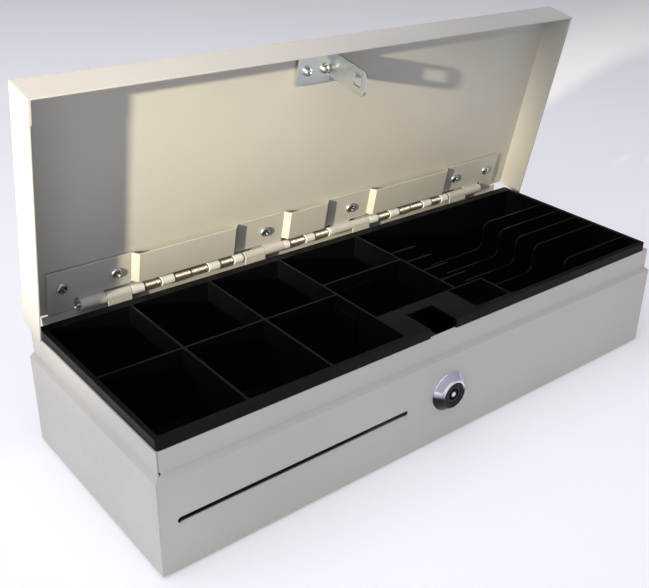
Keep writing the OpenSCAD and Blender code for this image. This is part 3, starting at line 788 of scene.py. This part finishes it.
class DRAWER_OT_insert(bpy.types.Operator):
    """Make the moulded coin and note insert"""

    bl_idname = "drawer.insert"
    bl_label = "Insert"

    # the upright ribs on the right end wall, in millimetres
    RIBS = 44
    RIB_PITCH = 2.8
    RIB_SIZE = (0.35, 0.7, 16)
    FIRST_RIB = (218.3, -62, 82.2)

    def execute(self, context):
        soften("insert_tray", context.scene.drawer_insert.edge, 2)
        bars = []
        x, y, z = self.FIRST_RIB
        scale = Matrix.Diagonal((*(Vector(self.RIB_SIZE) * MM), 1))
        for number in range(self.RIBS):
            bar = bmesh.new()
            bmesh.ops.create_cube(bar, size=1)
            place = Matrix.Translation(Vector((x, y + number * self.RIB_PITCH, z)) * MM)
            bmesh.ops.transform(bar, matrix=place @ scale, verts=bar.verts)
            bars.append(bar)
        ribs = new_piece("insert_end_ribs", join_shapes(bars), "insert_plastic", "drawer")
        round_edges(ribs, 0.12 * MM, 2)
        return {"FINISHED"}


class DRAWER_OT_lid(bpy.types.Operator):
    """Make the lid, its hinge leaf and the bosses between them"""

    bl_idname = "drawer.lid"
    bl_label = "Lid"

    def execute(self, context):
        paint = context.scene.drawer_paint
        fold("lid_shell", paint.fold, paint.edge)
        soften("lid_leaf", paint.edge, 2, math.radians(40))
        soften("lid_bosses", 0.15 * MM, 1, math.radians(60))
        return {"FINISHED"}


class DRAWER_OT_hinge(bpy.types.Operator):
    """Make the hinge pin, the bushes and the torsion springs"""

    bl_idname = "drawer.hinge"
    bl_label = "Hinge"

    def execute(self, context):
        springs = context.scene.drawer_springs
        low, high = loose_solids("hinge_pin")[0]
        pin_r = (high.z - low.z) / 2
        profile = [(0, low.x), (pin_r, low.x), (pin_r, high.x), (0, high.x)]
        round_ended("hinge_pin", [turned(profile, LINE_START, (1, 0, 0), 48)], 0.4 * MM)
        bushes = []
        for low, high in loose_solids("hinge_bushes"):
            outer = (high.z - low.z) / 2
            bore = pin_r + 0.03 * MM
            ends = [(bore, high.x), (bore, low.x)]
            profile = [(bore, low.x), (outer, low.x), (outer, high.x), *ends]
            bushes.append(turned(profile, LINE_START, (1, 0, 0), 64))
        round_ended("hinge_bushes", bushes, 0.35 * MM)
        for number, (low, high) in enumerate(loose_solids("torsion_springs"), 1):
            self.spring(number, low.x, high.x, springs)
        return {"FINISHED"}

    def spring(self, number, start, end, springs):
        """Winds one spring from its leg behind the rail to its leg under the leaf."""
        wire = springs.wire
        length = end - start - 2 * wire
        turns = max(3, int(length / (COIL_PITCH * wire))) + OPEN_SPARE / (2 * math.pi)
        steps = int(round(turns * springs.steps))
        shape = bmesh.new()
        ring = bmesh.ops.create_circle(shape, cap_ends=False, radius=wire, segments=8)["verts"]
        first = HINGE_LINE + Vector((0, springs.coil, 0))
        first.x = start + wire
        bmesh.ops.translate(shape, verts=ring, vec=first)
        edges = list(shape.edges)
        geom = ring + edges
        self.leg(shape, ring, edges, Vector((0, 0, -RAIL_LEG)))
        result = bmesh.ops.spin(
            shape,
            geom=geom,
            cent=HINGE_LINE,
            axis=(1, 0, 0),
            dvec=(length / steps, 0, 0),
            angle=turns * 2 * math.pi,
            steps=steps,
            use_merge=False,
        )
        last = [g for g in result["geom_last"] if isinstance(g, bmesh.types.BMVert)]
        last_edges = [g for g in result["geom_last"] if isinstance(g, bmesh.types.BMEdge)]
        along = Matrix.Rotation(-OPEN_ANGLE, 3, "X") @ Vector((0, -LEAF_LEG, 0))
        self.leg(shape, last, last_edges, along)
        bmesh.ops.remove_doubles(shape, verts=shape.verts, dist=JOIN)
        bmesh.ops.recalc_face_normals(shape, faces=shape.faces)
        name = f"torsion_spring_{number}"
        mesh = bpy.data.meshes.new(name)
        shape.to_mesh(mesh)
        shape.free()
        mesh.shade_smooth()
        piece = bpy.data.objects.new(name, mesh)
        bpy.context.scene.collection.objects.link(piece)
        mesh.materials.append(FINISHES["spring_steel"])
        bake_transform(piece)
        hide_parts("torsion_springs")

    def leg(self, shape, ring, edges, reach):
        """Draws the wire out straight from an open end and closes it."""
        drawn = bmesh.ops.extrude_edge_only(shape, edges=edges)["geom"]
        verts = [g for g in drawn if isinstance(g, bmesh.types.BMVert)]
        bmesh.ops.translate(shape, verts=verts, vec=reach)
        bmesh.ops.contextual_create(shape, geom=verts)


class DRAWER_OT_screws(bpy.types.Operator):
    """Make the cross-recess screws of the leaf and the striker, and their washers"""

    bl_idname = "drawer.screws"
    bl_label = "Screws"

    def execute(self, context):
        self.group("leaf_screws", 4.15 * MM, 2.4 * MM)
        self.group("striker_screws", 3.1 * MM, 2.2 * MM)
        soften("striker_washers", 0.12 * MM, 2, math.radians(60))
        return {"FINISHED"}

    def group(self, node, head_r, head_h):
        """One piece with a domed screw at each of the CAD screws."""
        shut = lid_turn().inverted()
        lowest = min((shut @ v.co).z for v in frame["nodes"][node].data.vertices)
        one = self.head(head_r, head_h)
        shapes = []
        for low, high in loose_solids(node):
            place = shut @ ((low + high) / 2)
            copy = bmesh.new()
            copy.from_mesh(one)
            seat = Vector((place.x, place.y, lowest + head_h))
            turn = Matrix.Rotation(math.pi, 4, "X")
            twist = Matrix.Rotation(0.7 + place.x * 37, 4, "Z")
            bmesh.ops.transform(
                copy,
                matrix=lid_turn() @ Matrix.Translation(seat) @ turn @ twist,
                verts=copy.verts,
            )
            shapes.append(copy)
        bpy.data.meshes.remove(one)
        piece = new_piece(f"{node}_finished", join_shapes(shapes), "zinc", "lid", (node,))
        piece.data.set_sharp_from_angle(angle=math.radians(32))

    def head(self, radius, height):
        """A pan head standing on its seat, with a cross recess and a short shank."""
        shank = 1.55 * MM
        depth = 3.2 * MM
        profile = [
            (0, height),
            (radius * 0.35, height * 0.99),
            (radius * 0.62, height * 0.93),
            (radius * 0.82, height * 0.78),
            (radius * 0.94, height * 0.55),
            (radius, height * 0.22),
            (radius * 0.985, 0.03 * MM),
            (radius * 0.96, 0),
            (shank, 0),
            (shank, -depth * 0.7),
            (0, -depth * 0.75),
        ]
        shape = turned(profile, (0, 0, 0), (0, 0, 1), 40)
        head = bpy.data.objects.new("head", bpy.data.meshes.new("head"))
        shape.to_mesh(head.data)
        shape.free()
        cutter = bpy.data.objects.new("recess", bpy.data.meshes.new("recess"))
        self.recess(radius, height).to_mesh(cutter.data)
        for thing in (head, cutter):
            bpy.context.scene.collection.objects.link(thing)
        cut = head.modifiers.new("Recess", "BOOLEAN")
        cut.operation = "DIFFERENCE"
        cut.solver = "EXACT"
        cut.use_self = True
        cut.object = cutter
        bpy.context.view_layer.update()
        graph = bpy.context.evaluated_depsgraph_get()
        mesh = bpy.data.meshes.new_from_object(head.evaluated_get(graph))
        if len(mesh.vertices) < 40:
            raise RuntimeError("the screw's recess was not cut")
        for thing in (head, cutter):
            old = thing.data
            bpy.data.objects.remove(thing)
            bpy.data.meshes.remove(old)
        return mesh

    def recess(self, radius, height):
        """Two crossed wedges that narrow towards the bottom, and a pointed middle."""
        arm = radius * 0.62
        half = radius * 0.12
        bottom = height * 0.18
        arms = []
        for turn in (0, math.pi / 2):
            shape = bmesh.new()
            bmesh.ops.create_cube(shape, size=1)
            for vert in shape.verts:
                wide = vert.co.z > 0
                vert.co.x = math.copysign(arm if wide else arm * 0.45, vert.co.x)
                vert.co.y = math.copysign(half if wide else half * 0.7, vert.co.y)
                vert.co.z = height * 1.1 if wide else bottom
            bmesh.ops.rotate(
                shape, verts=shape.verts, cent=(0, 0, 0), matrix=Matrix.Rotation(turn, 3, "Z")
            )
            arms.append(shape)
        return join_shapes(arms)


class DRAWER_OT_striker(bpy.types.Operator):
    """Make the striker that the latch holds"""

    bl_idname = "drawer.striker"
    bl_label = "Striker"

    def execute(self, context):
        soften("striker", 0.25 * MM, 2)
        return {"FINISHED"}


class DRAWER_OT_lock(bpy.types.Operator):
    """Make the tubular lock in the front panel"""

    bl_idname = "drawer.lock"
    bl_label = "Lock"

    # radius and distance behind the front panel, in millimetres
    HOUSING = (
        (7.05, 15), (9, 15), (9, 0), (15, 0), (15, -0.8), (11.4, -5), (10.9, -5.2), (10.9, -6.1),
        (10.5, -6.4), (9.3, -6.4), (9.3, -4.4), (7.05, -4.4), (7.05, 15),
    )
    SHROUD = ((7.15, -6.05), (9.15, -6.05), (9.15, -4.45), (7.15, -4.45), (7.15, -6.05))
    PLUG = (
        (0, -1.8), (6.2, -1.8), (6.2, -3.8), (7, -3.8), (7, 15.8), (2.2, 15.8), (2.2, 17.5),
        (0, 17.5),
    )
    FACE = (
        (1.9, -5.7), (3, -5.7), (3, -3.2), (4.3, -3.2), (4.3, -5.7), (6.85, -5.7), (6.85, -3.9),
        (6.15, -3.9), (6.15, -1.8), (1.9, -1.8), (1.9, -5.7),
    )
    POST = ((0, -6), (1.8, -6), (1.8, -1.8), (0, -1.8))

    def execute(self, context):
        for node, profile, width in (
            ("lock_housing", self.HOUSING, 0.22),
            ("lock_shroud", self.SHROUD, 0.2),
            ("lock_plug", self.PLUG, 0.2),
            ("lock_face", self.FACE, 0.15),
            ("lock_post", self.POST, 0.35),
        ):
            ring = [(radius * MM, along * MM) for radius, along in profile]
            round_ended(node, [turned(ring, LOCK_AXIS, (0, 1, 0), 96)], width * MM)
        for node in ("lock_nut", "lock_cam", "cam_screw", "cam_pin"):
            soften(node, 0.25 * MM, 2, math.radians(40))
        return {"FINISHED"}


class DRAWER_OT_latch(bpy.types.Operator):
    """Make the latch, its bracket, the solenoid and the switch"""

    bl_idname = "drawer.latch"
    bl_label = "Latch"

    def execute(self, context):
        edge = context.scene.drawer_metal.edge
        for node in (
            "latch_bracket",
            "bracket_screws",
            "solenoid_frame",
            "solenoid_screws",
            "solenoid_plunger",
            "plunger_pin",
            "latch_slide",
            "microswitch",
            "microswitch_button",
        ):
            soften(node, edge, 2, math.radians(40))
        repaint("solenoid_coil", "return_spring", "microswitch_terminals")
        return {"FINISHED"}


class DRAWER_OT_wiring(bpy.types.Operator):
    """Make the jack behind the back panel and the loom inside"""

    bl_idname = "drawer.wiring"
    bl_label = "Jack and Loom"

    def execute(self, context):
        soften("cable_jack", 0.3 * MM, 2)
        repaint("jack_contacts", "wire_loom")
        return {"FINISHED"}


PIECE_OPERATORS = (
    DRAWER_OT_stage,
    DRAWER_OT_body,
    DRAWER_OT_insert,
    DRAWER_OT_lid,
    DRAWER_OT_hinge,
    DRAWER_OT_screws,
    DRAWER_OT_striker,
    DRAWER_OT_lock,
    DRAWER_OT_latch,
    DRAWER_OT_wiring,
)


class DRAWER_PT_panel(bpy.types.Panel):
    """Lists the drawer's settings and pieces"""

    bl_idname = "DRAWER_PT_panel"
    bl_label = "Cash Drawer"
    bl_space_type = "VIEW_3D"
    bl_region_type = "UI"
    bl_category = "Cash Drawer"

    def draw(self, context):
        layout = self.layout
        scene = context.scene
        for group in SETTINGS:
            box = layout.box()
            settings = getattr(scene, group)
            box.label(text=SETTINGS[group].__doc__)
            for name in SETTINGS[group].__annotations__:
                box.prop(settings, name)
        for operator in PIECE_OPERATORS:
            layout.operator(operator.bl_idname)


SETTINGS = {
    "drawer_paint": PaintSettings,
    "drawer_insert": InsertSettings,
    "drawer_metal": MetalSettings,
    "drawer_springs": SpringSettings,
    "drawer_stage": StageSettings,
}
CLASSES = (*SETTINGS.values(), *PIECE_OPERATORS, DRAWER_PT_panel)


def register():
    for cls in CLASSES:
        bpy.utils.register_class(cls)
    for name, group in SETTINGS.items():
        setattr(bpy.types.Scene, name, PointerProperty(type=group))


def unregister():
    for name in SETTINGS:
        delattr(bpy.types.Scene, name)
    for cls in reversed(CLASSES):
        bpy.utils.unregister_class(cls)


def main():
    register()
    make_finishes(bpy.context.scene)
    for operator in PIECE_OPERATORS:
        group, name = operator.bl_idname.split(".")
        getattr(getattr(bpy.ops, group), name)()


if __name__ == "__main__":
    main()
